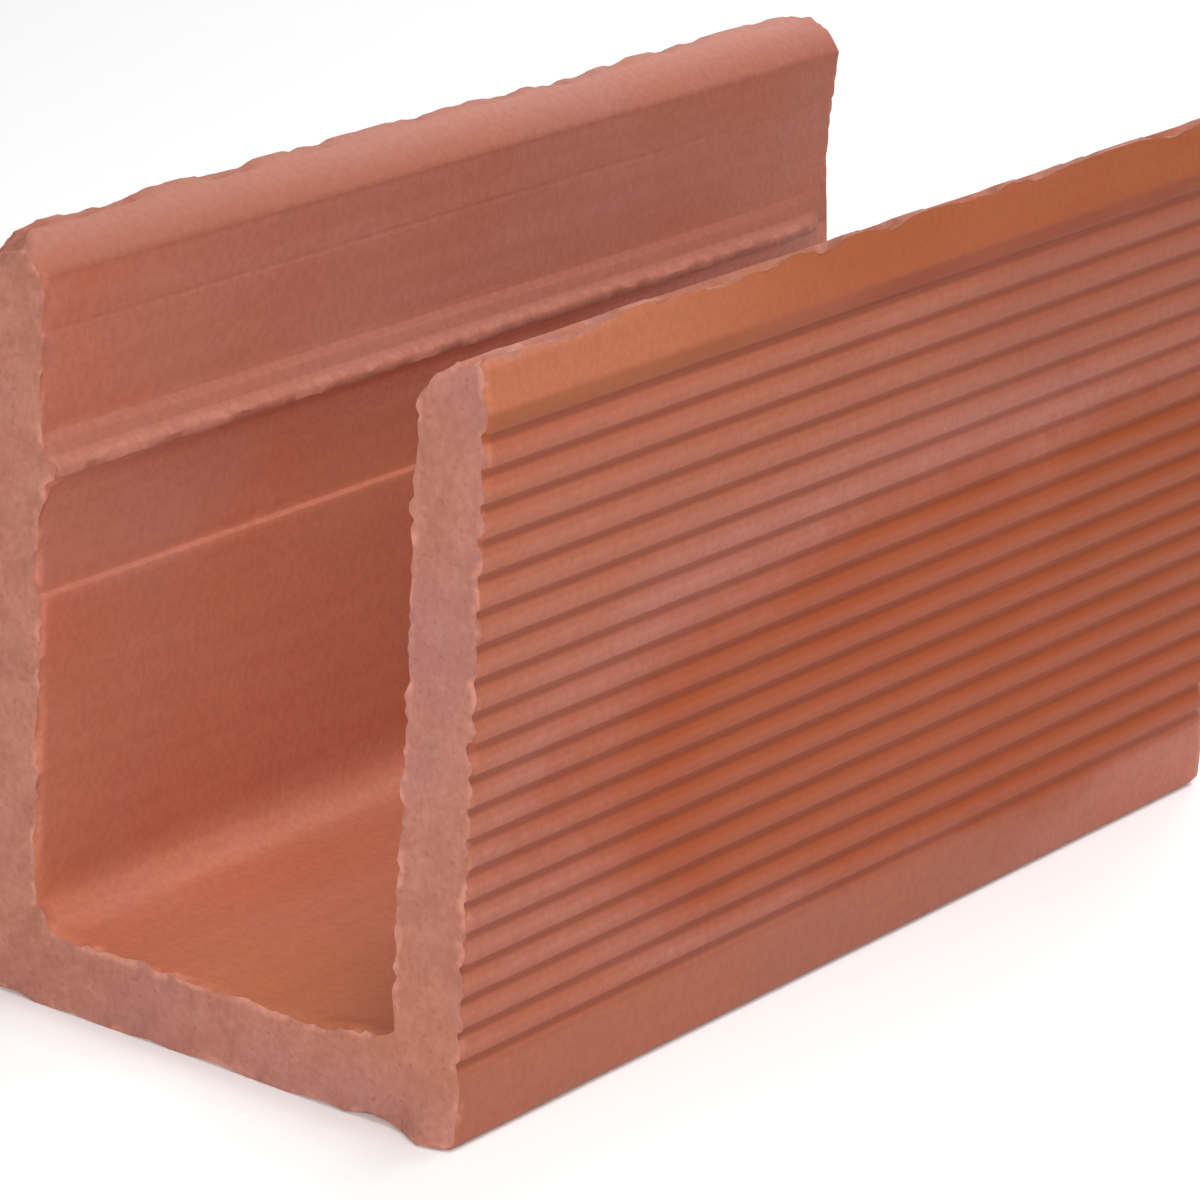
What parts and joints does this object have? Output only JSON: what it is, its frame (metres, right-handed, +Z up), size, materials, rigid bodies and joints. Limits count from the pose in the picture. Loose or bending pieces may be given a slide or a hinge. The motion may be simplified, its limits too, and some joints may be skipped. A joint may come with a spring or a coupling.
{
  "type": "clay channel block",
  "caption": "U-shaped fired clay channel block with grooved outer faces, split wall tops and a rib on one inner face, laid as the form for a beam in a wall.",
  "frame": {"origin": "middle of the underside", "axes": "+Z up, +Y along the length, +X across the width towards the plain wall"},
  "size_m": [0.15, 0.33, 0.19],
  "materials": {
    "fired_clay": "matte fired clay"
  },
  "bodies": {
    "root": {"channel_block": "fired_clay"}
  },
  "joints": []
}
